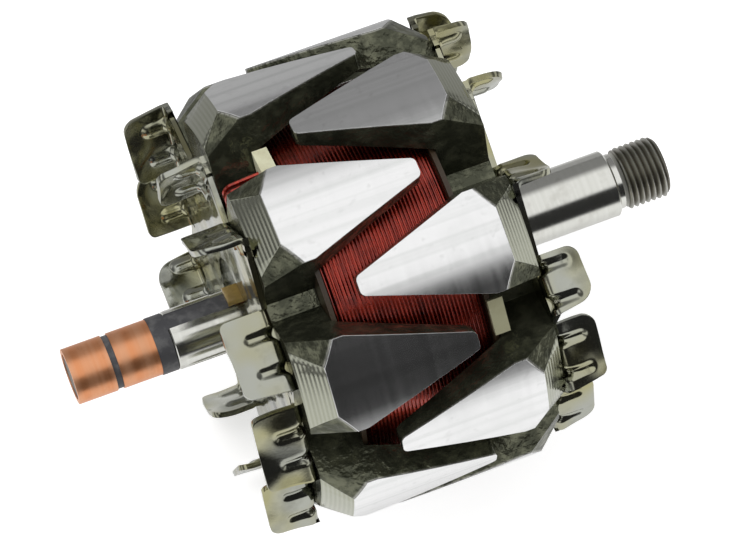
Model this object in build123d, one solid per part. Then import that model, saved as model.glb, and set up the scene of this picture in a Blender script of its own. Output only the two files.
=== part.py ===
from build123d import *
import math
import os

# Claw-pole rotor of a vehicle alternator, in millimetres.
# X runs along the shaft towards the threaded drive end, and the origin is the middle of the overall length.
# Stations along the shaft are first given from the middle of the pole pack, and save() moves them.
# Angles are turned about X, from +Y towards +Z.

# pole halves
pole_count = 8
pole_radius = 56.5
pack_half_length = 31.5
yoke_thickness = 12.6
core_radius = 27.0
finger_root_half_width = 12.5
valley_depth = 18.5
chamfer_axial = 6.3
chamfer_radial = 6.0
finger_reach = 11.7
finger_tip_half_width = 2.3
finger_root_thickness = 9.0
finger_tip_thickness = 4.2
finger_tip_corner = 1.6
shoulder_length = 9.6
shoulder_start_half_width = 11.6
shoulder_neck_half_width = 6.5
shoulder_end_half_width = 10.2

# shaft
pole_seat_radius = 9.2
drive_seat_radius = 8.5
drive_seat_end = 64.9
relief_radius = 7.1
relief_length = 2.4
thread_radius = 7.9
thread_end = 78.4
thread_chamfer = 1.2
rear_seat_radius = 7.5
rear_seat_end = -51.7
stub_radius = 4.0
centre_drill_radius = 2.4
centre_drill_angle = 60.0
slot_width = 5.0
slot_depth = 3.2
edge_chamfer = 0.5
rear_relief_start = -39.0
rear_relief_depth = 0.2

# slip rings and their moulded carrier
ring_radius = 7.1
ring_wall = 1.3
ring_length = 10.0
ring_gap = 1.6
collar_length = 4.1
collar_radius = 7.3
gap_recess = 0.35
end_recess = 0.3
tail_overhang = 2.6

# bobbin and winding
flange_thickness = 1.2
flange_seat_gap = 0.1
flange_below_claws = 1.1
tube_wall = 1.4
winding_below_flange = 1.0
tab_rise = 1.8
tab_drop = 4.4
tab_half_width_top = 4.6
tab_half_width_bottom = 3.2
tab_length = 3.8
front_tab_angle = 135.0

# winding leads, side by side in a groove of the rear pole half
lead_angle = 67.5
lead_radius = 0.7
lead_pitch = 1.9
lead_bend_radius = 2.0
groove_width = 4.6
groove_depth = 2.2
lead_below_tab_top = 4.2
lead_end_radius = 6.3
bead_length = 4.4
bead_height = 1.8
bead_width = 5.4
bead_corner = 0.8

# fans: the blades are pitched unevenly to keep the air noise down
# each blade starts and ends at a share of the fan's radius and an angle, and has a corner radius at each end
sheet_thickness = 1.4
fan_below_poles = 0.5
fan_hole_radius = 15.0
rear_blade_height = 12.5
front_blade_height = 10.7
blade_lean = 1.6
rib_rise = 6.4
rib_run = 4.0
rib_radius = 1.5
rib_wall = 1.0
rib_spacing = 8.6
two_rib_length = 15.0
rear_blades = [
    (0.768, -3, 1.0, 13.5, 1.8, 3.0),
    (0.625, 40, 0.857, 54.5, 2.4, 2.4),
    (0.643, 71, 0.964, 91, 1.8, 3.0),
    (0.75, 110, 0.893, 134, 1.8, 2.2),
    (0.821, 142, 0.893, 170, 1.8, 1.6),
    (0.786, 183, 0.973, 201, 2.0, 3.0),
    (0.75, 228, 0.982, 245, 2.0, 3.0),
    (0.75, 256, 0.991, 271, 2.0, 3.0),
    (0.821, 296, 0.964, 311, 1.8, 4.5),
    (0.75, 328, 0.911, 347, 1.8, 5.0),
]
front_blades = [
    (0.786, -8, 1.0, 15, 4.5, 4.5),
    (0.732, 17, 0.946, 37.5, 3.0, 3.0),
    (0.679, 50, 0.902, 65.5, 3.0, 3.0),
    (0.679, 89, 0.946, 101, 2.4, 3.0),
    (0.857, 122, 0.964, 137.5, 3.2, 3.6),
    (0.836, 145.5, 0.973, 164, 3.0, 1.5),
    (0.804, 184, 0.964, 203, 4.0, 4.0),
    (0.786, 222, 0.964, 240, 3.0, 3.0),
    (0.786, 258, 0.964, 276, 3.0, 3.0),
    (0.786, 296, 0.964, 314, 3.0, 3.0),
]

# clearances
press_gap = 0.02
seat_gap = 0.15
cut_margin = 1.0

# the smallest rounds, on the leads and the fan ribs, are drawn with this many flats
facet_count = 8

# values that follow from the ones above
yoke_inner_x = pack_half_length - yoke_thickness
finger_pitch = 360 / pole_count
valley_radius = pole_radius - valley_depth
inner_ring_start = rear_seat_end - collar_length
inner_ring_end = inner_ring_start - ring_length
outer_ring_start = inner_ring_end - ring_gap
outer_ring_end = outer_ring_start - ring_length
overall_middle = (outer_ring_end + thread_end) / 2
carrier_radius = ring_radius - ring_wall
flange_outer_x = yoke_inner_x - flange_seat_gap
flange_inner_x = flange_outer_x - flange_thickness
flange_radius = pole_radius - finger_root_thickness - flange_below_claws
winding_radius = flange_radius - winding_below_flange
tab_outer_radius = flange_radius + tab_rise
tab_inner_radius = flange_radius - tab_drop
lead_start_radius = tab_outer_radius - lead_below_tab_top
groove_top_radius = lead_start_radius + lead_bend_radius
groove_floor_x = -pack_half_length + groove_depth
lead_line_x = -pack_half_length + groove_depth / 2
tail_end = -pack_half_length - tail_overhang
fan_radius = pole_radius - fan_below_poles


def turned(points):
    return revolve(make_face(Polyline(*points, close=True)), Axis.X, 360)


def ring(start_x, end_x, inner, outer):
    return turned([(start_x, inner), (end_x, inner), (end_x, outer), (start_x, outer)])


def around(shape, angle):
    return Rot(X=angle) * shape


def box_at(start_x, end_x, inner, outer, width):
    centre = Pos((start_x + end_x) / 2, (inner + outer) / 2, 0)
    return centre * Box(abs(end_x - start_x), outer - inner, width)


def on_circle(radius, angle):
    return radius * math.cos(math.radians(angle)), radius * math.sin(math.radians(angle))


def make_shaft():
    drive_shoulder = pack_half_length
    relief_end = drive_seat_end + relief_length
    body = turned([
        (outer_ring_end + end_recess, 0),
        (outer_ring_end + end_recess, stub_radius),
        (rear_seat_end, stub_radius),
        (rear_seat_end, rear_seat_radius - edge_chamfer),
        (rear_seat_end + edge_chamfer, rear_seat_radius),
        (rear_relief_start, rear_seat_radius),
        (rear_relief_start, rear_seat_radius - rear_relief_depth),
        (-pack_half_length, rear_seat_radius - rear_relief_depth),
        (-pack_half_length, pole_seat_radius),
        (drive_shoulder, pole_seat_radius),
        (drive_shoulder, drive_seat_radius),
        (drive_seat_end - edge_chamfer, drive_seat_radius),
        (drive_seat_end, drive_seat_radius - edge_chamfer),
        (drive_seat_end, relief_radius),
        (relief_end, relief_radius),
        (relief_end + edge_chamfer, thread_radius),
        (thread_end - thread_chamfer, thread_radius),
        (thread_end, thread_radius - thread_chamfer),
        (thread_end, 0),
    ])
    drill_depth = centre_drill_radius / math.tan(math.radians(centre_drill_angle / 2))
    centre_drill = turned([
        (thread_end, 0),
        (thread_end, centre_drill_radius),
        (thread_end - drill_depth, 0),
    ])
    slot_floor = rear_seat_radius - slot_depth
    slot = box_at(rear_seat_end, groove_floor_x, slot_floor, pole_seat_radius + cut_margin, slot_width)
    return body - centre_drill - around(slot, lead_angle)


def make_shoulder(side):
    # the sloping forged corner of a claw root, as a block that the claw is cut with
    root_x = -pack_half_length
    points = []
    for x, radius, half_width in (
        (root_x + shoulder_length, pole_radius, shoulder_start_half_width),
        (root_x + chamfer_axial, pole_radius, shoulder_neck_half_width),
        (root_x, pole_radius - chamfer_radial, shoulder_end_half_width),
    ):
        points.append(Vector(x, math.sqrt(radius**2 - half_width**2), side * half_width))
    start, neck, end = points
    outward = (neck - start).cross(end - start) * side
    block_size = 2 * pack_half_length
    block = Box(block_size, block_size, block_size, align=(Align.CENTER, Align.CENTER, Align.MIN))
    return Plane(origin=neck, x_dir=end - neck, z_dir=outward) * block


def make_finger():
    root_x = -pack_half_length
    face_x = root_x + chamfer_axial
    underside_root = pole_radius - finger_root_thickness
    underside_tip = pole_radius - finger_tip_thickness
    section = turned([
        (root_x, valley_radius / 2),
        (root_x, pole_radius - chamfer_radial),
        (face_x, pole_radius),
        (finger_reach, pole_radius),
        (finger_reach, underside_tip),
        (-yoke_inner_x, underside_root),
        (-yoke_inner_x, valley_radius / 2),
    ])
    outline = make_face(Polyline(
        (root_x - cut_margin, -finger_root_half_width),
        (-yoke_inner_x, -finger_root_half_width),
        (finger_reach, -finger_tip_half_width),
        (finger_reach, finger_tip_half_width),
        (-yoke_inner_x, finger_root_half_width),
        (root_x - cut_margin, finger_root_half_width),
        close=True,
    ))
    tip_corners = outline.vertices().sort_by(Axis.X)[-2:]
    outline = fillet(tip_corners, finger_tip_corner)
    wedge = extrude(Plane.XZ * outline, amount=-2 * pole_radius)
    return (section & wedge) - make_shoulder(1) - make_shoulder(-1)


def make_pole_half():
    finger = make_finger()
    bore = pole_seat_radius + press_gap
    half = ring(-pack_half_length, -yoke_inner_x, bore, valley_radius)
    half += ring(-yoke_inner_x, 0, bore, core_radius)
    for index in range(pole_count):
        half += around(finger, index * finger_pitch)
    return half


def make_bobbin():
    tube_inner = core_radius + seat_gap
    body = ring(-flange_outer_x, flange_outer_x, tube_inner, tube_inner + tube_wall)
    for side in (-1, 1):
        body += ring(side * flange_inner_x, side * flange_outer_x, tube_inner, flange_radius)
    tab_outline = make_face(Polyline(
        (tab_inner_radius, -tab_half_width_bottom),
        (tab_outer_radius, -tab_half_width_top),
        (tab_outer_radius, tab_half_width_top),
        (tab_inner_radius, tab_half_width_bottom),
        close=True,
    ))
    tab = extrude(Plane.YZ * tab_outline, amount=tab_length)
    for turn in (0, 180):
        body += around(Pos(X=-flange_inner_x - tab_length) * tab, lead_angle + turn)
        body += around(Pos(X=flange_inner_x) * tab, front_tab_angle + turn)
    return body


def make_winding():
    inner = core_radius + seat_gap + tube_wall + press_gap
    reach = flange_inner_x - press_gap
    return ring(-reach, reach, inner, winding_radius)


def make_carrier():
    bore = stub_radius + press_gap
    body = turned([
        (outer_ring_end + end_recess, bore),
        (outer_ring_end + end_recess, carrier_radius),
        (outer_ring_start + press_gap, carrier_radius),
        (outer_ring_start + press_gap, ring_radius - gap_recess),
        (inner_ring_end - press_gap, ring_radius - gap_recess),
        (inner_ring_end - press_gap, carrier_radius),
        (inner_ring_start + press_gap, carrier_radius),
        (inner_ring_start + press_gap, collar_radius),
        (rear_seat_end - press_gap, collar_radius),
        (rear_seat_end - press_gap, bore),
    ])
    tail_start = rear_seat_end - collar_length / 2
    tail_floor = rear_seat_radius - slot_depth + press_gap
    tail = box_at(tail_start, tail_end, tail_floor, rear_seat_radius, slot_width - 2 * press_gap)
    flush = ring(tail_start, tail_end, 0, collar_radius)
    return body + (around(tail, lead_angle) & flush)


def make_slip_ring(start_x):
    return ring(start_x, start_x - ring_length, carrier_radius + press_gap, ring_radius)


def make_lead(offset):
    start_x = -flange_inner_x - tab_length - press_gap
    path = FilletPolyline(
        (start_x, lead_start_radius, offset),
        (lead_line_x, lead_start_radius - lead_radius, offset),
        (lead_line_x, lead_end_radius, offset),
        (tail_end + press_gap, lead_end_radius, offset),
        radius=lead_bend_radius,
    )
    section = Plane(origin=path @ 0, z_dir=path % 0) * RegularPolygon(lead_radius, facet_count)
    return around(sweep(section, path), lead_angle)


def make_bead():
    top = rear_seat_radius + bead_height
    end_x = -pack_half_length - press_gap
    block = box_at(end_x - bead_length, end_x, rear_seat_radius, top, bead_width)
    block = fillet(block.edges().group_by(Axis.Y)[-1], bead_corner)
    return around(block, lead_angle)


def blade_frame(blade):
    # the frame of one blade, from its start on the disc: along the blade, up from the disc, and outwards
    start = Vector(0, *on_circle(blade[0] * fan_radius, blade[1]))
    end = Vector(0, *on_circle(blade[2] * fan_radius, blade[3]))
    chord = end - start
    return Plane(origin=start, x_dir=chord, z_dir=chord.cross(Vector(1, 0, 0))), chord.length


def make_blade(blade, height):
    frame, length = blade_frame(blade)
    outline = make_face(Polyline(
        (0, 0),
        (length, 0),
        (length - blade_lean, height),
        (0, height),
        close=True,
    ))
    outer_tip = outline.vertices().group_by(Axis.Y)[-1].sort_by(Axis.X)[-1]
    outline = fillet(outer_tip, blade[5])
    inner_tip = outline.vertices().group_by(Axis.X)[0].sort_by(Axis.Y)[-1]
    outline = fillet(inner_tip, blade[4])
    return extrude(frame * outline, amount=-sheet_thickness)


def make_rib(along, radius):
    # a tongue pressed across the bend between disc and blade, in the blade's frame
    floor = RegularPolygon(radius, facet_count, major_radius=False, rotation=180 / facet_count)
    section = floor + Pos(Y=-rib_rise / 2) * Rectangle(2 * radius, rib_rise)
    middle = Plane(origin=(along, rib_rise / 2, -rib_run / 2), x_dir=(1, 0, 0), z_dir=(0, rib_rise, rib_run))
    return extrude(middle * section, amount=rib_rise, both=True)


def rib_places(length):
    if length < two_rib_length:
        return [length / 2]
    return [(length - rib_spacing) / 2, (length + rib_spacing) / 2]


def make_fan(blades, height):
    # lying on x = 0 with its blades towards +X
    rim = []
    for blade in blades:
        rim.append(on_circle(blade[0] * fan_radius, blade[1]))
        rim.append(on_circle(blade[2] * fan_radius, blade[3]))
    disc = make_face(Polyline(*rim, close=True)) - Circle(fan_hole_radius)
    body = extrude(Plane.YZ * disc, amount=sheet_thickness)
    for blade in blades:
        body += make_blade(blade, height)
    inside_corner = Box(fan_radius, height, fan_radius, align=(Align.CENTER, Align.MIN, Align.MAX))
    for blade in blades:
        frame, length = blade_frame(blade)
        for along in rib_places(length):
            body += frame * (make_rib(along, rib_radius + rib_wall) & inside_corner)
            body -= frame * make_rib(along, rib_radius)
    return body


def save(name, shape):
    shape = Pos(X=-overall_middle) * shape
    shape.label = name
    export_step(shape, os.path.join("parts", name + ".step"))


os.makedirs("parts", exist_ok=True)
pole_half = make_pole_half()
front_half = around(mirror(pole_half, about=Plane.YZ), finger_pitch / 2)
groove = box_at(-pack_half_length - cut_margin, groove_floor_x, 0, groove_top_radius, groove_width)
save("shaft", make_shaft())
save("rear_pole_half", pole_half - around(groove, lead_angle))
save("front_pole_half", front_half)
save("winding_bobbin", make_bobbin())
save("field_winding", make_winding())
save("winding_start_lead", make_lead(-lead_pitch / 2))
save("winding_finish_lead", make_lead(lead_pitch / 2))
save("lead_resin", make_bead())
save("slip_ring_carrier", make_carrier())
save("inner_slip_ring", make_slip_ring(inner_ring_start))
save("outer_slip_ring", make_slip_ring(outer_ring_start))
fan_seat_x = pack_half_length + press_gap
rear_fan = Pos(X=fan_seat_x) * make_fan(rear_blades, rear_blade_height)
save("rear_fan", mirror(rear_fan, about=Plane.YZ))
save("front_fan", Pos(X=fan_seat_x) * make_fan(front_blades, front_blade_height))
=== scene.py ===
import bpy
import bmesh
import math
import random
from mathutils import Matrix, Vector


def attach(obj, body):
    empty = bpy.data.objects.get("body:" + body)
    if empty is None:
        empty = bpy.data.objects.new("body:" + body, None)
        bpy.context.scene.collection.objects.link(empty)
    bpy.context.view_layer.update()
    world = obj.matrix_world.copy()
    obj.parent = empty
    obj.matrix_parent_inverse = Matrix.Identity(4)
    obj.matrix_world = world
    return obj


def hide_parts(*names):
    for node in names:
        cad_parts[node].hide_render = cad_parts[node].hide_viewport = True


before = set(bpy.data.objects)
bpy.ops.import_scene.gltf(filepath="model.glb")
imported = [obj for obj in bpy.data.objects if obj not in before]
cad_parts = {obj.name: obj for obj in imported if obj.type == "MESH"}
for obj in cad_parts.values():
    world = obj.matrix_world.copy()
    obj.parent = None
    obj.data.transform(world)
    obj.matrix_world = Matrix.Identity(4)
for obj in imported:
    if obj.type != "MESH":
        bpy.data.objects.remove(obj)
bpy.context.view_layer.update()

# Claw-pole alternator rotor on a white table, seen from above and a little from its slip-ring end.
# X runs along the shaft to the threaded end and Z is up. The rotor's sizes are millimetres, and mm turns them
# into metres. The places of lamps and camera are metres already. Angles in the dictionaries are degrees.
mm = 0.001
packMiddle = 0.5  # the pole pack's middle lies this many millimetres before the origin
print("frame loaded")


# node helpers
def addNode(tree, kind, inputs=None, **settings):
    made = tree.nodes.new(kind)
    for name, value in settings.items():
        setattr(made, name, value)
    for key, value in (inputs or {}).items():
        plug(tree, made.inputs[key], value)
    return made


def plug(tree, socket, value):
    if isinstance(value, bpy.types.NodeSocket):
        tree.links.new(value, socket)
    else:
        socket.default_value = value


def maths(tree, operation, a, b=0.0, c=0.0):
    return addNode(tree, "ShaderNodeMath", {0: a, 1: b, 2: c}, operation=operation).outputs[0]


def times(tree, a, b):
    return maths(tree, "MULTIPLY", a, b)


def timesPlus(tree, a, b, c):
    return maths(tree, "MULTIPLY_ADD", a, b, c)


def minus(tree, a, b):
    return maths(tree, "SUBTRACT", a, b)


def larger(tree, a, b):
    return maths(tree, "MAXIMUM", a, b)


def spread(tree, value, low, high, toLow=0.0, toHigh=1.0):
    inputs = {"Value": value, "From Min": low, "From Max": high, "To Min": toLow, "To Max": toHigh}
    return addNode(tree, "ShaderNodeMapRange", inputs).outputs["Result"]


def mixed(tree, factor, a, b):
    made = addNode(tree, "ShaderNodeMix", data_type="RGBA")  # its colours are inputs 6 and 7 and output 2
    plug(tree, made.inputs[0], factor)
    plug(tree, made.inputs[6], a)
    plug(tree, made.inputs[7], b)
    return made.outputs[2]


def noisy(tree, vector, scale, detail=3.0, roughness=0.5):
    inputs = {"Vector": vector, "Scale": scale, "Detail": detail, "Roughness": roughness}
    return addNode(tree, "ShaderNodeTexNoise", inputs).outputs["Fac"]


def noisyLine(tree, value, scale):
    inputs = {"W": value, "Scale": scale, "Detail": 2.0}
    return addNode(tree, "ShaderNodeTexNoise", inputs, noise_dimensions="1D").outputs["Fac"]


def rgb(red, green, blue):
    return (red, green, blue, 1.0)


def newGroup(name, inputs, outputs):
    group = bpy.data.node_groups.new(name, "ShaderNodeTree")
    for label, value in inputs.items():
        kind = "NodeSocketFloat" if isinstance(value, float) else "NodeSocketVector"
        socket = group.interface.new_socket(label, in_out="INPUT", socket_type=kind)
        if isinstance(value, float):
            socket.default_value = value
    for label, kind in outputs.items():
        group.interface.new_socket(label, in_out="OUTPUT", socket_type="NodeSocket" + kind)
    return group, group.nodes.new("NodeGroupInput").outputs, group.nodes.new("NodeGroupOutput").inputs


def placeGroup(tree, group, inputs=None):
    return addNode(tree, "ShaderNodeGroup", inputs, node_tree=group).outputs


# where a point lies on the rotor, in millimetres: along the shaft from the pack's middle, out from the axis,
# and its angle round the shaft
def makeRotorPlace():
    outputs = {"Along": "Float", "Radius": "Float", "Turn": "Float", "Spot": "Vector"}
    group, _, ends = newGroup("rotorPlace", {}, outputs)
    where = addNode(group, "ShaderNodeTexCoord").outputs["Object"]
    spot = addNode(group, "ShaderNodeVectorMath", {0: where, "Scale": 1 / mm}, operation="SCALE").outputs[0]
    parts = addNode(group, "ShaderNodeSeparateXYZ", {0: spot}).outputs
    squareY = times(group, parts[1], parts[1])
    square = timesPlus(group, parts[2], parts[2], squareY)
    plug(group, ends["Along"], maths(group, "ADD", parts[0], packMiddle))
    plug(group, ends["Radius"], maths(group, "SQRT", square))
    plug(group, ends["Turn"], maths(group, "ARCTAN2", parts[2], parts[1]))
    plug(group, ends["Spot"], spot)
    return group


# what the shared effects are made of, in a noise's own units
effects = {
    "bandRate": 0.11,  # broad bands for each fine groove
    "bandRange": (0.2, 0.8),  # where a band's value mostly lies
    "noiseRange": (0.3, 0.7),  # where a soft noise's value mostly lies
    "waverScale": 0.12,
    "patchDetail": 4.0,
    "patchRoughness": 0.6,
    "patchMiddle": 0.75,  # a patch begins where its noise passes this, less reach times cover
    "patchReach": 0.5,
    "patchSoftness": 0.16,
    "specksInPatch": 9.0,
    "speckRange": (0.62, 0.72),
}


# fine grooves that a turning tool or a grinding wheel leaves, one value along the shaft or across a face
def makeTurningMarks():
    inputs = {"Across": 0.0, "Pitch": 0.2, "Spot": None}
    group, given, ends = newGroup("turningMarks", inputs, {"Height": "Float", "Band": "Float"})
    lines = maths(group, "DIVIDE", given["Across"], given["Pitch"])
    waver = noisy(group, given["Spot"], effects["waverScale"], detail=2.0)
    plug(group, ends["Height"], times(group, noisyLine(group, lines, 1.0), waver))
    plug(group, ends["Band"], noisyLine(group, lines, effects["bandRate"]))
    return group


# oil film and dust: large soft patches broken by small specks
def makeGrime():
    inputs = {"Spot": None, "Size": 8.0, "Cover": 0.5}
    group, given, ends = newGroup("grime", inputs, {"Patch": "Float", "Speck": "Float"})
    scale = maths(group, "DIVIDE", 1.0, given["Size"])
    soft = noisy(group, given["Spot"], scale, effects["patchDetail"], effects["patchRoughness"])
    low = minus(group, effects["patchMiddle"], times(group, given["Cover"], effects["patchReach"]))
    high = maths(group, "ADD", low, effects["patchSoftness"])
    plug(group, ends["Patch"], spread(group, soft, low, high))
    small = noisy(group, given["Spot"], times(group, scale, effects["specksInPatch"]), detail=2.0)
    plug(group, ends["Speck"], spread(group, small, *effects["speckRange"]))
    return group


rotorPlace = makeRotorPlace()
turningMarks = makeTurningMarks()
grime = makeGrime()
print("shared effects built")


# material helpers
def newMaterial(name):
    material = bpy.data.materials.new(name)
    material.use_nodes = True
    tree = material.node_tree
    shader = tree.nodes["Principled BSDF"]
    place = placeGroup(tree, rotorPlace)
    return material, tree, shader, place


def marksOn(tree, place, pitch):
    return placeGroup(tree, turningMarks, {"Across": place["Along"], "Pitch": pitch, "Spot": place["Spot"]})


def grimeOn(tree, place, look):
    return placeGroup(tree, grime, {"Spot": place["Spot"], **look})


def bumped(tree, shader, height, depth):
    bump = addNode(tree, "ShaderNodeBump", {"Height": height, "Distance": depth * mm, "Strength": 1.0})
    tree.links.new(bump.outputs["Normal"], shader.inputs["Normal"])


# geometry helpers
weldDistance = 1e-6  # metres: points of a CAD mesh that lie nearer than this are one point
screwWeld = 1e-7  # the same for the points of a screw
screwSliver = 1e-8  # edges of a screw shorter than this are taken out


# a station is how many millimetres a thing lies along the shaft from the pole pack's middle
def stationX(station):
    return (station - packMiddle) * mm


def ringPoint(station, radius, turn):
    return (stationX(station), radius * mm * math.cos(turn), radius * mm * math.sin(turn))


def cadCopy(nodeName):
    build = bmesh.new()
    build.from_mesh(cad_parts[nodeName].data)
    bmesh.ops.remove_doubles(build, verts=build.verts, dist=weldDistance)
    return build


def finishedMesh(name, build):
    mesh = bpy.data.meshes.new(name)
    build.to_mesh(mesh)
    build.free()
    return mesh


def addPiece(name, mesh, material, nodeName):
    piece = bpy.data.objects.new(name, mesh)
    bpy.context.scene.collection.objects.link(piece)
    mesh.materials.clear()
    mesh.materials.append(material)
    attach(piece, "root")
    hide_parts(nodeName)
    return piece


# a closed solid with a screw surface round X: one pitch is "across" rows, and the caps close it inside
def screwMesh(name, rowCount, across, around, pointAt, caps):
    build = bmesh.new()

    def addRow(points):
        row = []
        for spoke, (station, radius) in enumerate(points):
            row.append(build.verts.new(ringPoint(station, radius, 2 * math.pi * spoke / around)))
        return row

    shares = [spoke / around for spoke in range(around)]
    rows = [addRow([pointAt(step, share) for share in shares]) for step in range(rowCount + 1)]
    capRows = [addRow([cap] * around) for cap in caps]
    chain = rows + capRows + [rows[0]]
    for lower, upper in zip(chain, chain[1:]):
        for spoke in range(around - 1):
            build.faces.new((lower[spoke], lower[spoke + 1], upper[spoke + 1], upper[spoke]))
    # the seam: each row's end meets the start of the row one pitch on, and a long face fills each open end
    for lower, upper in zip(capRows, capRows[1:]):
        build.faces.new((lower[-1], lower[0], upper[0], upper[-1]))
    for step in range(rowCount - across):
        lower, upper = rows[step], rows[step + 1]
        build.faces.new((lower[-1], rows[step + across][0], rows[step + across + 1][0], upper[-1]))
    firstSeam = [row[0] for row in rows[:across + 1]]
    lastSeam = [row[-1] for row in rows[rowCount - across:]]
    build.faces.new([capRows[-1][-1], capRows[-1][0]] + firstSeam + [rows[0][-1]])
    build.faces.new([capRows[0][-1], capRows[0][0], rows[-1][0]] + lastSeam)
    bmesh.ops.remove_doubles(build, verts=build.verts, dist=screwWeld)
    bmesh.ops.dissolve_degenerate(build, edges=build.edges, dist=screwSliver)
    bmesh.ops.recalc_face_normals(build, faces=build.faces)
    mesh = finishedMesh(name, build)
    mesh.shade_smooth()
    return mesh


# claws: turned bright on the outside, oily black forging on the sides
claw = {
    "poleRadius": 56.5,
    "halfLength": 31.5,
    "chamferAxial": 6.3,
    "chamferRadial": 6.0,
    "edgeRound": 0.35,
    "flatAngle": 0.6,  # faces that meet flatter than this become one
    "cornerAngle": 24.0,  # edges sharper than this are rounded
    "creaseAngle": 50.0,  # edges sharper than this shade as two faces
    "faceColour": rgb(0.90, 0.90, 0.90),
    "faceShade": rgb(0.74, 0.75, 0.74),
    "faceSkin": (0.20, 0.08),  # how far inside the pole radius the turned face begins and is full
    "facePitch": 0.3,
    "faceDepth": 0.004,
    "faceRoughness": (0.15, 0.24),
    "film": {"Size": 22.0, "Cover": 0.5},
    "filmStrength": 0.35,
    "fleck": rgb(0.30, 0.30, 0.28),
    "fleckStrength": 0.12,
    "sheenStreaks": 18.0,  # painted reflection streaks along the shaft, this many for each radian round the shaft
    "sheenStreakRange": (0.45, 0.75),
    "sheenStreakStrength": 0.7,
    "chamferColour": rgb(0.50, 0.51, 0.43),
    "chamferShade": rgb(0.34, 0.35, 0.27),
    "chamferSkin": (0.14, 0.06),  # how far off the chamfer's cone its look ends and is full
    "chamferFade": 0.4,
    "chamferPitch": 0.85,
    "chamferDepth": 0.03,
    "ridgeTone": 0.5,  # how much the chamfer's single ridges and its broad bands darken it
    "bandPitch": 1.4,
    "bandTone": 0.5,
    "forgedColour": rgb(0.070, 0.074, 0.050),
    "forgedLight": rgb(0.20, 0.205, 0.14),
    "forged": {"Size": 4.0, "Cover": 0.6},
    "forgedStrength": 0.6,
    "forgedMetallic": 0.8,
    "forgedRoughness": (0.24, 0.16),
    "lumpScale": 0.32,
    "lumpDepth": 0.55,
    # the claws' edges are lightened towards this colour: a painted highlight
    "edge": rgb(0.42, 0.42, 0.38),
    "highlightBand": (0.60, 0.30),  # how far inside the pole radius the painted edge highlight begins and is full
    "highlightStrength": 0.8,
}


# where the claws are turned: the face at the pole radius, and the cone of the chamfer at each end
def clawZones(tree, place):
    radius, poleRadius = place["Radius"], claw["poleRadius"]
    chamferEnd = poleRadius - claw["chamferRadial"]
    onFace = spread(tree, radius, poleRadius - claw["faceSkin"][0], poleRadius - claw["faceSkin"][1])
    inset = minus(tree, claw["halfLength"], maths(tree, "ABSOLUTE", place["Along"]))
    cone = timesPlus(tree, inset, claw["chamferRadial"] / claw["chamferAxial"], chamferEnd)
    away = maths(tree, "ABSOLUTE", minus(tree, radius, cone))
    aboveChamferEnd = spread(tree, radius, chamferEnd - claw["chamferFade"], chamferEnd)
    onChamfer = times(tree, spread(tree, away, *claw["chamferSkin"]), aboveChamferEnd)
    return onFace, onChamfer


def clawFaceColour(tree, place):
    film = grimeOn(tree, place, claw["film"])
    filmed = times(tree, film["Patch"], claw["filmStrength"])
    face = mixed(tree, filmed, claw["faceColour"], claw["faceShade"])
    face = mixed(tree, times(tree, film["Speck"], claw["fleckStrength"]), face, claw["fleck"])
    # streaks along the shaft, lighter and darker in turn, are a painted reflection
    paintedSheen = noisyLine(tree, times(tree, place["Turn"], claw["sheenStreaks"]), 1.0)
    paintedSheen = spread(tree, paintedSheen, *claw["sheenStreakRange"], 0.0, claw["sheenStreakStrength"])
    return mixed(tree, paintedSheen, face, claw["faceShade"])


def clawChamferColour(tree, place, ridge):
    band = marksOn(tree, place, claw["bandPitch"])["Band"]
    tone = timesPlus(tree, band, claw["bandTone"], times(tree, ridge, claw["ridgeTone"]))
    return mixed(tree, tone, claw["chamferColour"], claw["chamferShade"])


def clawForgedColour(tree, place, patch):
    scaly = times(tree, patch, claw["forgedStrength"])
    skin = mixed(tree, scaly, claw["forgedColour"], claw["forgedLight"])
    # a band just under the pole radius is lightened: a painted edge highlight
    edgeStart, edgeFull = [claw["poleRadius"] - depth for depth in claw["highlightBand"]]
    paintedEdgeHighlight = times(tree, spread(tree, place["Radius"], edgeStart, edgeFull), claw["highlightStrength"])
    return mixed(tree, paintedEdgeHighlight, skin, claw["edge"])


def makeClawSteel():
    material, tree, shader, place = newMaterial("clawSteel")
    onFace, onChamfer = clawZones(tree, place)
    machined = larger(tree, onFace, onChamfer)
    unmachined = minus(tree, 1.0, machined)
    marks = marksOn(tree, place, claw["facePitch"])
    patch = grimeOn(tree, place, claw["forged"])["Patch"]
    groove = maths(tree, "FRACT", maths(tree, "DIVIDE", place["Along"], claw["chamferPitch"]))
    ridge = maths(tree, "ABSOLUTE", timesPlus(tree, groove, 2.0, -1.0))
    colour = clawForgedColour(tree, place, patch)
    colour = mixed(tree, onChamfer, colour, clawChamferColour(tree, place, ridge))
    plug(tree, shader.inputs["Base Color"], mixed(tree, onFace, colour, clawFaceColour(tree, place)))
    plug(tree, shader.inputs["Metallic"], spread(tree, machined, 0.0, 1.0, claw["forgedMetallic"], 1.0))
    faceRough = spread(tree, marks["Band"], *effects["bandRange"], *claw["faceRoughness"])
    sideRough = spread(tree, patch, 0.0, 1.0, *claw["forgedRoughness"])
    rough = timesPlus(tree, unmachined, sideRough, times(tree, machined, faceRough))
    plug(tree, shader.inputs["Roughness"], rough)
    lumps = noisy(tree, place["Spot"], claw["lumpScale"])
    fine = times(tree, onFace, times(tree, marks["Height"], claw["faceDepth"]))
    coarse = times(tree, onChamfer, times(tree, ridge, claw["chamferDepth"]))
    skin = times(tree, unmachined, times(tree, lumps, claw["lumpDepth"]))
    bumped(tree, shader, maths(tree, "ADD", maths(tree, "ADD", fine, coarse), skin), 1.0)
    return material


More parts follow.
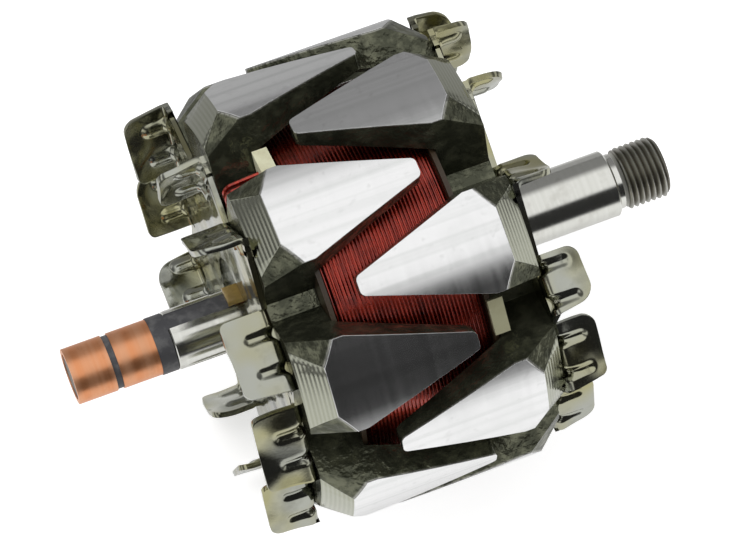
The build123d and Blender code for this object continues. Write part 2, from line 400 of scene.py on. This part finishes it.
# a copy of a CAD pole half with its sharp edges rounded a little, as forging and turning leave them
def makeClaws(name, nodeName):
    build = cadCopy(nodeName)
    flat, corner = math.radians(claw["flatAngle"]), math.radians(claw["cornerAngle"])
    bmesh.ops.dissolve_limit(build, angle_limit=flat, verts=build.verts, edges=build.edges)
    sharp = [edge for edge in build.edges if edge.is_manifold and edge.calc_face_angle(0.0) > corner]
    rounding = {"offset": claw["edgeRound"] * mm, "segments": 2, "profile": 0.5, "clamp_overlap": True}
    bmesh.ops.bevel(build, geom=sharp, affect="EDGES", **rounding)
    mesh = finishedMesh(name, build)
    mesh.shade_smooth()
    mesh.set_sharp_from_angle(angle=math.radians(claw["creaseAngle"]))
    piece = addPiece(name, mesh, clawSteel, nodeName)
    evened = piece.modifiers.new("evenNormals", "WEIGHTED_NORMAL")
    evened.keep_sharp = True
    evened.weight = 100


clawSteel = makeClawSteel()
makeClaws("rearClaws", "rear_pole_half")
makeClaws("frontClaws", "front_pole_half")
print("claws built")


# fans: plated pressed sheet, smooth and glossy, with a warm tint and patches of dark oil
fan = {
    "colour": rgb(0.42, 0.43, 0.38),
    "warm": rgb(0.40, 0.38, 0.21),
    "warmScale": 0.06,
    "warmRange": (0.4, 0.65),
    "oil": rgb(0.13, 0.13, 0.09),
    "film": {"Size": 12.0, "Cover": 0.45},
    "filmStrength": 0.35,
    "roughness": (0.09, 0.19),
    "grainScale": 1.6,
    "grainDepth": 0.012,
    "swellScale": 0.10,
    "swellDepth": 0.9,
    "radius": 56.0,
    "seat": 31.52,  # how far from the pack's middle the sheet rests on a pole half
    "sheet": 1.4,
    "holeRadius": 15.0,
    "holeSteps": 96,
    "bend": 2.4,
    "foot": 3.0,
    "lean": 1.6,
    "rimShare": 0.2,  # between blades the disc stops this share of the bend short of their line
    "edgeRound": 0.3,
    "edgeAngle": 50.0,
    "dentWidth": 4.0,
    "dentStart": 0.6,  # how far along the foot a dent starts
    "dentRise": 8.6,  # the level where it ends
    "dentDepth": 0.75,
    "dentBendDepth": 0.9,  # added round the bend
    "dentBendReach": 2.2,
    "dentSpacing": 8.6,
    "twoDentLength": 14.5,  # blades from this length on have two dents
    "waveHeight": 0.6,  # how far out of flat a blade is at its top
    "waveRateUp": 0.35,  # radians for each millimetre, and the next line as well
    "waveRatesAlong": (0.25, 0.45),
    "wavePhases": (0, 6.3),
    "footSteps": 6,
    "bendSteps": 10,
    "riseSteps": 26,
    "acrossSteps": 40,
    "rearHeight": 12.5,
    "frontHeight": 10.7,
    "rearSeed": 4,
    "frontSeed": 9,
    # each blade: the share of the radius and the angle where it starts, the same where it ends, and the radii
    # of its two corners
    "rearBlades": [
        (0.768, -3, 1.0, 13.5, 1.8, 3.0),
        (0.625, 40, 0.857, 54.5, 2.4, 2.4),
        (0.643, 71, 0.964, 91, 1.8, 3.0),
        (0.75, 110, 0.893, 134, 1.8, 2.2),
        (0.821, 142, 0.893, 170, 1.8, 1.6),
        (0.786, 183, 0.973, 201, 2.0, 3.0),
        (0.75, 228, 0.982, 245, 2.0, 3.0),
        (0.75, 256, 0.991, 271, 2.0, 3.0),
        (0.821, 296, 0.964, 311, 1.8, 4.5),
        (0.75, 328, 0.911, 347, 1.8, 5.0),
    ],
    "frontBlades": [
        (0.786, -8, 1.0, 15, 4.5, 4.5),
        (0.732, 17, 0.946, 37.5, 3.0, 3.0),
        (0.679, 50, 0.902, 65.5, 3.0, 3.0),
        (0.679, 89, 0.946, 101, 2.4, 3.0),
        (0.857, 122, 0.964, 137.5, 3.2, 3.6),
        (0.836, 145.5, 0.973, 164, 3.0, 1.5),
        (0.804, 184, 0.964, 203, 4.0, 4.0),
        (0.786, 222, 0.964, 240, 3.0, 3.0),
        (0.786, 258, 0.964, 276, 3.0, 3.0),
        (0.786, 296, 0.964, 314, 3.0, 3.0),
    ],
}
bendArc = fan["bend"] * math.pi / 2  # how much sheet a bend takes


def makeFanSheet():
    material, tree, shader, place = newMaterial("fanSheet")
    spot = place["Spot"]
    film = grimeOn(tree, place, fan["film"])
    warmth = spread(tree, noisy(tree, spot, fan["warmScale"], detail=2.0), *fan["warmRange"])
    tint = mixed(tree, warmth, fan["colour"], fan["warm"])
    colour = mixed(tree, times(tree, film["Patch"], fan["filmStrength"]), tint, fan["oil"])
    plug(tree, shader.inputs["Base Color"], colour)
    shader.inputs["Metallic"].default_value = 1.0
    fine = noisy(tree, spot, fan["grainScale"], roughness=0.6)
    plug(tree, shader.inputs["Roughness"], spread(tree, fine, *effects["noiseRange"], *fan["roughness"]))
    swell = times(tree, noisy(tree, spot, fan["swellScale"], detail=0.0), fan["swellDepth"])
    bumped(tree, shader, timesPlus(tree, fine, fan["grainDepth"], swell), 1.0)
    return material


# a point on the disc, in millimetres, from its share of the fan's radius and its angle
def onDisc(share, angle):
    turn = math.radians(angle)
    return Vector((0, share * fan["radius"] * math.cos(turn), share * fan["radius"] * math.sin(turn)))


# how much sheet lies below each row of a blade: over the foot on the disc, round the bend, then up to the top
def bladeRuns(height):
    foot, rise = fan["foot"], height - fan["bend"]
    runs = [foot * step / fan["footSteps"] for step in range(fan["footSteps"])]
    runs += [foot + bendArc * step / fan["bendSteps"] for step in range(fan["bendSteps"])]
    for step in range(fan["riseSteps"] + 1):
        runs.append(foot + bendArc + rise * math.sin(math.pi / 2 * step / fan["riseSteps"]))
    return runs


# the sheet at one row: its level over the disc, its way out from the blade, and its face's way up and out
def sheetAt(run):
    bend, foot = fan["bend"], fan["foot"]
    if run < foot:
        return 0.0, run - foot - bend, 1.0, 0.0
    if run < foot + bendArc:
        turn = (run - foot) / bend
        return bend - bend * math.cos(turn), bend * math.sin(turn) - bend, math.cos(turn), math.sin(turn)
    return bend + run - foot - bendArc, 0.0, 0.0, 1.0


# how deep the pressed dents are at one point of a blade, deepest round the bend
def dentAt(middles, where, run):
    half = fan["dentWidth"] / 2
    dentTop = fan["foot"] + bendArc + fan["dentRise"] - fan["bend"] - half
    past = max(0.0, run - dentTop, fan["dentStart"] - run)
    fromBend = (run - fan["foot"] - bendArc / 2) / fan["dentBendReach"]
    depth = fan["dentDepth"] + fan["dentBendDepth"] * math.exp(-fromBend ** 2)
    nearest = min(math.hypot(where - middle, past) for middle in middles)
    return depth * (0.5 + 0.5 * math.cos(math.pi * min(1.0, nearest / half)))


# how far a blade's end is cut back at one level by its rounded corner
def cornerInset(corner, level, height):
    over = max(0.0, level - (height - corner))
    return corner - math.sqrt(max(0.0, corner * corner - over * over))


# one blade as a grid of points on the outside of its sheet
def addBlade(build, blade, height, side, chance):
    startShare, startAngle, endShare, endAngle, startCorner, endCorner = blade
    start, end = onDisc(startShare, startAngle), onDisc(endShare, endAngle)
    length = (end - start).length
    along = (end - start) / length
    outward = along.cross(Vector((1, 0, 0)))
    middles = [length / 2]
    if length >= fan["twoDentLength"]:
        middles = [length / 2 - fan["dentSpacing"] / 2, length / 2 + fan["dentSpacing"] / 2]
    phase = chance.uniform(*fan["wavePhases"])
    rate = chance.uniform(*fan["waveRatesAlong"])
    across = fan["acrossSteps"]
    rows = []
    for run in bladeRuns(height):
        level, out, up, push = sheetAt(run)
        first = cornerInset(startCorner, level, height)
        last = length - fan["lean"] * level / height - cornerInset(endCorner, level, height)
        row = []
        for step in range(across + 1):
            where = first + (last - first) * step / across
            ripple = math.sin(where * rate + phase) * math.sin(level * fan["waveRateUp"] + phase * 2)
            warp = fan["waveHeight"] * (1 + ripple) * (level / height)
            depth = dentAt(middles, where, run) + warp * push
            station = side * (fan["seat"] + level + up * depth)
            spot = start + along * where + outward * (out - depth * push)
            row.append(build.verts.new((stationX(station), spot.y * mm, spot.z * mm)))
        rows.append(row)
    for lower, upper in zip(rows, rows[1:]):
        for step in range(across):
            corners = (lower[step], lower[step + 1], upper[step + 1], upper[step])
            face = build.faces.new(corners if side > 0 else tuple(reversed(corners)))
            face.smooth = True
    return start, end, outward


# the disc between the blades' feet and the hole for the shaft, one flat sheet
def makeDisc(name, rim, side):
    disc = bmesh.new()
    station = side * fan["seat"]
    outer = [disc.verts.new((stationX(station), spot.y * mm, spot.z * mm)) for spot in rim]
    turns = [2 * math.pi * step / fan["holeSteps"] for step in range(fan["holeSteps"])]
    hole = [disc.verts.new(ringPoint(station, fan["holeRadius"], turn)) for turn in turns]
    for loop in (outer, hole):
        for before, after in zip(loop, loop[1:] + loop[:1]):
            disc.edges.new((before, after))
    bmesh.ops.triangle_fill(disc, edges=disc.edges[:], use_beauty=True)
    for face in disc.faces:
        face.normal_update()
        if face.normal.x * side > 0:
            face.normal_flip()
    return finishedMesh(name, disc)


def makeFan(name, nodeName, blades, height, side, seed):
    build = bmesh.new()
    chance = random.Random(seed)
    inset = fan["bend"] + fan["foot"] / 2
    rim = []
    for blade in blades:
        start, end, outward = addBlade(build, blade, height, side, chance)
        shallow = outward * fan["bend"] * fan["rimShare"]
        deep = outward * inset
        rim += [start - shallow, start - deep, end - deep, end - shallow]
    plate = makeDisc(name + "Disc", rim, side)
    build.from_mesh(plate)
    bpy.data.meshes.remove(plate)
    piece = addPiece(name, finishedMesh(name, build), fanSheet, nodeName)
    sheet = piece.modifiers.new("sheet", "SOLIDIFY")
    sheet.thickness = fan["sheet"] * mm
    sheet.offset = -1.0
    edges = piece.modifiers.new("edges", "BEVEL")
    edges.width = fan["edgeRound"] * mm
    edges.segments = 2
    edges.limit_method = "ANGLE"
    edges.angle_limit = math.radians(fan["edgeAngle"])


fanSheet = makeFanSheet()
makeFan("rearFanSheet", "rear_fan", fan["rearBlades"], fan["rearHeight"], -1, fan["rearSeed"])
makeFan("frontFanSheet", "front_fan", fan["frontBlades"], fan["frontHeight"], 1, fan["frontSeed"])
print("fans built")


# winding: fine red enamelled wire, one helix of real turns on the outside layer
winding = {
    "reach": 17.58,
    "radius": 45.4,
    "innerRadius": 28.6,
    "wirePitch": 0.95,
    "shoulder": 0.30,  # how fast the outer layer falls away near its two ends
    "shoulderReach": 2.4,
    "around": 192,  # points round the shaft
    "across": 6,  # rows of points for each turn
    "lifts": (-0.10, 0.02),  # how far single turns stand off and shift, at random
    "shoves": (-0.07, 0.07),
    "seed": 7,
    "colour": rgb(0.52, 0.048, 0.024),
    "dark": rgb(0.10, 0.006, 0.004),
    "turnTone": 0.45,
    "film": {"Size": 7.0, "Cover": 0.5},
    "filmTone": 0.45,
    "roughness": (0.24, 0.36),
    "coat": 0.9,
    "coatRoughness": 0.08,
    "grainScale": 2.0,
    "grainDepth": 0.02,
}


def makeEnamelledWire():
    material, tree, shader, place = newMaterial("enamelledWire")
    turn = maths(tree, "FLOOR", maths(tree, "DIVIDE", place["Along"], winding["wirePitch"]))
    perTurn = addNode(tree, "ShaderNodeTexWhiteNoise", {"W": turn}, noise_dimensions="1D").outputs["Value"]
    film = grimeOn(tree, place, winding["film"])
    tone = timesPlus(tree, perTurn, winding["turnTone"], times(tree, film["Patch"], winding["filmTone"]))
    plug(tree, shader.inputs["Base Color"], mixed(tree, tone, winding["colour"], winding["dark"]))
    shader.inputs["Metallic"].default_value = 1.0
    fine = noisy(tree, place["Spot"], winding["grainScale"], detail=2.0)
    plug(tree, shader.inputs["Roughness"], spread(tree, fine, *effects["noiseRange"], *winding["roughness"]))
    shader.inputs["Coat Weight"].default_value = winding["coat"]
    shader.inputs["Coat Roughness"].default_value = winding["coatRoughness"]
    bumped(tree, shader, fine, winding["grainDepth"])
    return material


def makeWinding():
    pitch, reach, across = winding["wirePitch"], winding["reach"], winding["across"]
    wire = pitch / 2
    turns = math.ceil(2 * reach / pitch) + 2  # one to spare at each end
    chance = random.Random(winding["seed"])
    lifts = [chance.uniform(*winding["lifts"]) for _ in range(turns + 1)]
    shoves = [chance.uniform(*winding["shoves"]) for _ in range(turns + 1)]

    def pointAt(step, share):
        turn, part = divmod(step, across)
        offset = (part / across - 0.5) * pitch
        crown = math.sqrt(max(wire * wire - offset * offset, 0.0))
        here = min(turn, turns)
        after = min(turn + 1, turns)
        jog = shoves[here] * (1 - share) + shoves[after] * share
        rise = lifts[here] * (1 - share) + lifts[after] * share
        station = -reach - pitch + turn * pitch + offset + pitch * share + jog * (crown / wire)
        radius = winding["radius"] - wire + crown + rise * (crown / wire)
        nearEnd = max(0.0, abs(station) - reach + winding["shoulderReach"])
        radius -= winding["shoulder"] * nearEnd ** 2
        return max(-reach, min(reach, station)), radius

    caps = [(reach, winding["innerRadius"]), (-reach, winding["innerRadius"])]
    mesh = screwMesh("windingTurns", turns * across, across, winding["around"], pointAt, caps)
    addPiece("windingTurns", mesh, enamelledWire, "field_winding")


enamelledWire = makeEnamelledWire()
makeWinding()
print("winding built")


# shaft: ground and polished, the thread darker in its roots
shaft = {
    "colour": rgb(0.76, 0.76, 0.72),
    "shade": rgb(0.68, 0.68, 0.63),
    "roughness": (0.14, 0.19),
    "markPitch": 0.12,
    "markDepth": 0.003,
    "film": {"Size": 6.0, "Cover": 0.45},
    "filmColour": rgb(0.4, 0.38, 0.33),
    "filmStrength": 0.25,
    "rootColour": rgb(0.12, 0.105, 0.075),
    "rootStrength": 0.95,
    "rootRoughness": 0.3,  # added where the steel is dirty
    "crestOil": 0.45,
    "crestBand": 0.2,
    "endFade": 0.1,
    "stubEnd": -77.1,  # the dark end face inside the slip rings
    "threadStart": 67.3,
    "threadEnd": 78.4,
    "threadRadius": 7.9,
    "threadPitch": 1.5,
    "threadDepth": 0.85,
    "threadChamfer": 1.2,
    "threadRunIn": 2.0,  # how steeply the thread rises out of the groove
    "rootFlat": 0.10,  # shares of half a pitch
    "flank": 0.78,
    "around": 96,  # points round the shaft
    "across": 10,  # rows of points for each turn
    "reliefRadius": 7.1,
    "reliefKept": 0.9,  # the CAD solid is cut off this far before the thread
    "drillRadius": 2.4,
    "drillDepth": 4.16,
    "coreRadius": 0.02,  # the thread's mesh closes round the axis at this radius
    "creaseAngle": 28.0,
}


def makeShaftSteel():
    material, tree, shader, place = newMaterial("shaftSteel")
    along, fade = place["Along"], shaft["endFade"]
    marks = marksOn(tree, place, shaft["markPitch"])
    film = grimeOn(tree, place, shaft["film"])
    polished = mixed(tree, marks["Band"], shaft["colour"], shaft["shade"])
    inThread = spread(tree, along, shaft["threadStart"] - fade, shaft["threadStart"] + fade)
    crest, root = shaft["threadRadius"] - shaft["crestBand"], shaft["threadRadius"] - shaft["threadDepth"]
    deep = spread(tree, place["Radius"], crest, root)
    oily = times(tree, inThread, spread(tree, deep, 0.0, 1.0, shaft["crestOil"], 1.0))
    onStubEnd = spread(tree, along, shaft["stubEnd"] + fade, shaft["stubEnd"])
    dirty = larger(tree, oily, onStubEnd)
    colour = mixed(tree, times(tree, dirty, shaft["rootStrength"]), polished, shaft["rootColour"])
    colour = mixed(tree, times(tree, film["Patch"], shaft["filmStrength"]), colour, shaft["filmColour"])
    plug(tree, shader.inputs["Base Color"], colour)
    shader.inputs["Metallic"].default_value = 1.0
    rough = spread(tree, marks["Band"], *effects["bandRange"], *shaft["roughness"])
    plug(tree, shader.inputs["Roughness"], timesPlus(tree, dirty, shaft["rootRoughness"], rough))
    bumped(tree, shader, times(tree, marks["Height"], shaft["markDepth"]), 1.0)
    return material


# the thread with its real helix, from the relief groove to the drilled end
def makeThread():
    pitch, across = shaft["threadPitch"], shaft["across"]
    start, end = shaft["threadStart"], shaft["threadEnd"]
    crest, root = shaft["threadRadius"], shaft["threadRadius"] - shaft["threadDepth"]
    turns = math.ceil((end - start) / pitch) + 1  # one to spare

    def pointAt(step, share):
        station = start - pitch + step * pitch / across + pitch * share
        phase = (step % across) / across
        wave = abs(phase - 0.5) * 2
        radius = root + (crest - root) * min(1.0, max(0.0, (wave - shaft["rootFlat"]) / shaft["flank"]))
        station = max(start, min(end, station))
        radius = min(radius, shaft["reliefRadius"] + (station - start) * shaft["threadRunIn"])
        return station, min(radius, crest - shaft["threadChamfer"] + (end - station))

    core = shaft["coreRadius"]
    caps = [(end, shaft["drillRadius"]), (end - shaft["drillDepth"], core), (start, core)]
    return screwMesh("threadedNose", turns * across, across, shaft["around"], pointAt, caps)


# the CAD solid as far as the relief groove, then the thread
def makeShaft():
    build = cadCopy("shaft")
    cutPoint = (stationX(shaft["threadStart"] - shaft["reliefKept"]), 0, 0)
    geometry = build.verts[:] + build.edges[:] + build.faces[:]
    plane = {"plane_co": cutPoint, "plane_no": (1, 0, 0)}
    cut = bmesh.ops.bisect_plane(build, geom=geometry, clear_outer=True, **plane)
    rim = [part for part in cut["geom_cut"] if isinstance(part, bmesh.types.BMEdge)]
    bmesh.ops.holes_fill(build, edges=rim)
    nose = makeThread()
    build.from_mesh(nose)
    bpy.data.meshes.remove(nose)
    mesh = finishedMesh("shaftWithThread", build)
    mesh.shade_smooth()
    piece = addPiece("shaftWithThread", mesh, shaftSteel, "shaft")
    edges = piece.modifiers.new("sharpEdges", "EDGE_SPLIT")
    edges.split_angle = math.radians(shaft["creaseAngle"])


shaftSteel = makeShaftSteel()
makeShaft()
print("shaft and thread built")


# bobbin: natural cream moulding, its flanges dark with varnish
bobbin = {
    "colour": rgb(0.74, 0.73, 0.52),
    "stain": rgb(0.50, 0.46, 0.27),
    "film": {"Size": 5.0, "Cover": 0.5},
    "filmStrength": 0.4,
    "driveEndTone": rgb(0.24, 0.23, 0.13),
    "driveEndStrength": 0.75,
    "varnish": rgb(0.040, 0.026, 0.014),
    "flangeEnd": 18.85,
    "flangeFade": 0.1,
    "flangeRadius": 46.4,
    "rimFade": (0.05, 0.3),
    "grainScale": 3.0,
    "grainDepth": 0.05,
    "roughness": (0.30, 0.46),
}


def makeBobbinPlastic():
    material, tree, shader, place = newMaterial("bobbinPlastic")
    film = grimeOn(tree, place, bobbin["film"])
    grain = noisy(tree, place["Spot"], bobbin["grainScale"], detail=4.0, roughness=0.6)
    clean = mixed(tree, times(tree, film["Patch"], bobbin["filmStrength"]), bobbin["colour"], bobbin["stain"])
    fromMiddle = maths(tree, "ABSOLUTE", place["Along"])
    pastFlange = spread(tree, fromMiddle, bobbin["flangeEnd"], bobbin["flangeEnd"] + bobbin["flangeFade"])
    rimStart, rimEnd = [bobbin["flangeRadius"] + fade for fade in bobbin["rimFade"]]
    onLug = larger(tree, pastFlange, spread(tree, place["Radius"], rimStart, rimEnd))
    # the half towards the drive end is darker and greener
    atDriveEnd = times(tree, spread(tree, place["Along"], 0.0, 1.0), bobbin["driveEndStrength"])
    clean = mixed(tree, atDriveEnd, clean, bobbin["driveEndTone"])
    plug(tree, shader.inputs["Base Color"], mixed(tree, onLug, bobbin["varnish"], clean))
    plug(tree, shader.inputs["Roughness"], spread(tree, grain, *effects["noiseRange"], *bobbin["roughness"]))
    bumped(tree, shader, grain, bobbin["grainDepth"])
    return material


# slip rings: copper turned bright and banded by the brushes
slipRing = {
    "colour": rgb(0.80, 0.33, 0.15),
    "brown": rgb(0.50, 0.18, 0.08),
    "pale": rgb(0.86, 0.43, 0.24),
    "film": {"Size": 6.0, "Cover": 0.4},
    "filmStrength": 0.35,
    "markPitch": 0.3,
    "markDepth": 0.05,
    "bandRange": (0.35, 0.65),
    "metallic": 0.85,
    "roughness": (0.30, 0.42),
}


def makeRingCopper():
    material, tree, shader, place = newMaterial("ringCopper")
    marks = marksOn(tree, place, slipRing["markPitch"])
    band = spread(tree, marks["Band"], *slipRing["bandRange"])
    colour = mixed(tree, band, slipRing["colour"], slipRing["pale"])
    film = grimeOn(tree, place, slipRing["film"])
    colour = mixed(tree, times(tree, film["Patch"], slipRing["filmStrength"]), colour, slipRing["brown"])
    plug(tree, shader.inputs["Base Color"], colour)
    shader.inputs["Metallic"].default_value = slipRing["metallic"]
    plug(tree, shader.inputs["Roughness"], spread(tree, band, 0.0, 1.0, *slipRing["roughness"]))
    bumped(tree, shader, times(tree, marks["Height"], slipRing["markDepth"]), 1.0)
    return material


# slip-ring carrier: dark grey moulding
carrier = {
    "colour": rgb(0.060, 0.060, 0.066),
    "dust": rgb(0.16, 0.16, 0.16),
    "film": {"Size": 3.0, "Cover": 0.55},
    "filmStrength": 0.5,
    "grainScale": 4.0,
    "grainDepth": 0.04,
    "roughness": (0.38, 0.55),
}


def makeCarrierPlastic():
    material, tree, shader, place = newMaterial("carrierPlastic")
    film = grimeOn(tree, place, carrier["film"])
    dusty = times(tree, film["Patch"], carrier["filmStrength"])
    plug(tree, shader.inputs["Base Color"], mixed(tree, dusty, carrier["colour"], carrier["dust"]))
    grain = noisy(tree, place["Spot"], carrier["grainScale"])
    plug(tree, shader.inputs["Roughness"], spread(tree, grain, *effects["noiseRange"], *carrier["roughness"]))
    bumped(tree, shader, grain, carrier["grainDepth"])
    return material


# resin bead over the leads
resin = {
    "colour": rgb(0.42, 0.30, 0.09),
    "deep": rgb(0.16, 0.10, 0.03),
    "cloudScale": 0.5,
    "cloudDepth": 0.25,
    "roughness": (0.10, 0.22),
    "coat": 0.6,
}


def makeResin():
    material, tree, shader, place = newMaterial("amberResin")
    cloud = noisy(tree, place["Spot"], resin["cloudScale"])
    plug(tree, shader.inputs["Base Color"], mixed(tree, cloud, resin["colour"], resin["deep"]))
    plug(tree, shader.inputs["Roughness"], spread(tree, cloud, *effects["noiseRange"], *resin["roughness"]))
    shader.inputs["Coat Weight"].default_value = resin["coat"]
    bumped(tree, shader, cloud, resin["cloudDepth"])
    return material


ringCopper = makeRingCopper()
finishes = {
    "winding_bobbin": makeBobbinPlastic(),
    "winding_start_lead": enamelledWire,
    "winding_finish_lead": enamelledWire,
    "lead_resin": makeResin(),
    "slip_ring_carrier": makeCarrierPlastic(),
    "inner_slip_ring": ringCopper,
    "outer_slip_ring": ringCopper,
}
for nodeName, finish in finishes.items():
    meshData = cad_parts[nodeName].data
    meshData.materials.clear()
    meshData.materials.append(finish)
print("other pieces coloured")


# table: white to the camera and keeping the rotor's shadow, but darker to the steel's mirror rays, a painted
# shade that is deepest on the far side and far in front
table = {
    "height": -56.6,
    "size": 6000.0,
    "colour": rgb(0.86, 0.86, 0.86),
    "lift": 0.55,  # the glow that brings the table up to white
    "mirrored": 0.72,  # how much of the table's white the steel mirrors under the rotor; the rest is painted shade
    "mirroredFar": 0.28,
    "mirroredNear": 0.16,
    "farFade": (0.02, 0.12),  # metres across the table, and the next line as well
    "nearFade": (-0.75, -0.30),
}


def makeTable():
    mesh = bpy.data.meshes.new("table")
    half = table["size"] / 2 * mm
    corners = [(x * half, y * half, table["height"] * mm) for x, y in ((-1, -1), (1, -1), (1, 1), (-1, 1))]
    mesh.from_pydata(corners, [], [(0, 1, 2, 3)])
    floor = bpy.data.objects.new("table", mesh)
    bpy.context.scene.collection.objects.link(floor)
    material = bpy.data.materials.new("tableWhite")
    material.use_nodes = True
    tree = material.node_tree
    tree.nodes.clear()
    path = addNode(tree, "ShaderNodeLightPath").outputs
    where = addNode(tree, "ShaderNodeTexCoord").outputs["Object"]
    across = addNode(tree, "ShaderNodeSeparateXYZ", {0: where}).outputs[1]
    # mirror rays see the table darkened by place: painted shade
    nearKept = spread(tree, across, *table["nearFade"], table["mirroredNear"], table["mirrored"])
    farKept = spread(tree, across, *table["farFade"], table["mirrored"], table["mirroredFar"])
    kept = maths(tree, "MINIMUM", nearKept, farKept)
    shaded = times(tree, path["Is Glossy Ray"], minus(tree, 1.0, kept))
    tone = mixed(tree, shaded, table["colour"], rgb(0, 0, 0))
    diffuse = addNode(tree, "ShaderNodeBsdfDiffuse", {"Color": tone})
    bounced = larger(tree, path["Is Glossy Ray"], path["Is Transmission Ray"])
    seen = larger(tree, path["Is Camera Ray"], bounced)
    glowing = times(tree, times(tree, seen, minus(tree, 1.0, shaded)), table["lift"])
    glow = addNode(tree, "ShaderNodeEmission", {"Color": rgb(1, 1, 1), "Strength": glowing})
    both = addNode(tree, "ShaderNodeAddShader", {0: diffuse.outputs[0], 1: glow.outputs[0]})
    addNode(tree, "ShaderNodeOutputMaterial", {"Surface": both.outputs[0]})
    mesh.materials.append(material)


# soft studio light: bright metal mirrors a white ceiling, a grey far wall and a black near one
studio = {
    "skyForLight": 0.62,  # how bright the sky is for all but mirror rays and the camera
    "nearWall": 0.025,
    "ceiling": 1.0,
    "farWall": 0.25,
    "endWall": 0.16,
    "endPanel": 0.85,
    "nearWallTop": (50.0, 59.0),  # angles round the shaft, from the near side over the top
    "farWallTop": (118.0, 138.0),
    "endWallEdge": (0.35, 0.58),  # how far a direction leans along the shaft
    "panelFoot": (0.22, 0.32),  # how far it leans upwards, and the next line as well
    "panelTop": (0.62, 0.52),
    "lamps": [
        {"name": "keyLamp", "place": (-0.5, 0.3, 1.3), "size": (0.9, 0.9), "power": 8.0},
        {"name": "fillLamp", "place": (0.9, -0.7, 0.9), "size": (0.6, 0.9), "power": 3.0},
    ],
}


# how bright the room is that bright metal mirrors, by direction
def roomLevel(tree):
    direction = addNode(tree, "ShaderNodeTexCoord").outputs["Generated"]
    parts = addNode(tree, "ShaderNodeSeparateXYZ", {0: direction}).outputs
    turn = maths(tree, "ARCTAN2", parts[2], times(tree, parts[1], -1.0))
    degrees = times(tree, turn, 180 / math.pi)
    overNear = spread(tree, degrees, *studio["nearWallTop"])
    overFar = spread(tree, degrees, *studio["farWallTop"])
    rising = timesPlus(tree, overNear, studio["ceiling"] - studio["nearWall"], studio["nearWall"])
    room = timesPlus(tree, overFar, studio["farWall"] - studio["ceiling"], rising)
    toEnd = spread(tree, maths(tree, "ABSOLUTE", parts[0]), *studio["endWallEdge"])
    underTop = spread(tree, parts[2], *studio["panelTop"])
    panel = times(tree, spread(tree, parts[2], *studio["panelFoot"]), underTop)
    endLevel = timesPlus(tree, panel, studio["endPanel"] - studio["endWall"], studio["endWall"])
    return maths(tree, "ADD", room, times(tree, toEnd, minus(tree, endLevel, room)))


def makeStudio():
    world = bpy.data.worlds.new("studio")
    world.use_nodes = True
    bpy.context.scene.world = world
    tree = world.node_tree
    tree.nodes.clear()
    path = addNode(tree, "ShaderNodeLightPath").outputs
    lightLevel = studio["skyForLight"]
    level = timesPlus(tree, path["Is Glossy Ray"], minus(tree, roomLevel(tree), lightLevel), lightLevel)
    seen = larger(tree, path["Is Camera Ray"], path["Is Transmission Ray"])
    inputs = {"Color": rgb(1, 1, 1), "Strength": larger(tree, level, seen)}
    sky = addNode(tree, "ShaderNodeBackground", inputs)
    addNode(tree, "ShaderNodeOutputWorld", {"Surface": sky.outputs[0]})
    for lamp in studio["lamps"]:
        light = bpy.data.lights.new(lamp["name"], "AREA")
        light.shape = "RECTANGLE"
        light.size, light.size_y = lamp["size"]
        light.energy = lamp["power"]
        holder = bpy.data.objects.new(lamp["name"], light)
        holder.location = lamp["place"]
        holder.rotation_euler = (-Vector(lamp["place"])).to_track_quat("-Z", "Y").to_euler()
        holder.visible_glossy = False
        bpy.context.scene.collection.objects.link(holder)


# camera at the photograph's angle
view = {
    "place": (-0.1605, -0.3468, 0.9798),
    "right": (0.93006, -0.36674, 0.02177),  # which way the picture's right and down point
    "down": (-0.33466, -0.87012, -0.36173),
    "lens": 211.1,
    "sensor": 36.0,
    "farthest": 20.0,
}


def makeCamera():
    data = bpy.data.cameras.new("photoCamera")
    data.lens = view["lens"]
    data.sensor_width = view["sensor"]
    data.sensor_fit = "HORIZONTAL"
    data.clip_end = view["farthest"]
    camera = bpy.data.objects.new("photoCamera", data)
    bpy.context.scene.collection.objects.link(camera)
    right = Vector(view["right"]).normalized()
    back = right.cross(-Vector(view["down"])).normalized()
    up = back.cross(right)
    camera.matrix_world = Matrix.Translation(view["place"]) @ Matrix((right, up, back)).transposed().to_4x4()
    bpy.context.scene.camera = camera


makeTable()
makeStudio()
makeCamera()
bpy.context.scene.view_settings.view_transform = "Standard"
print("stage, light and camera set")
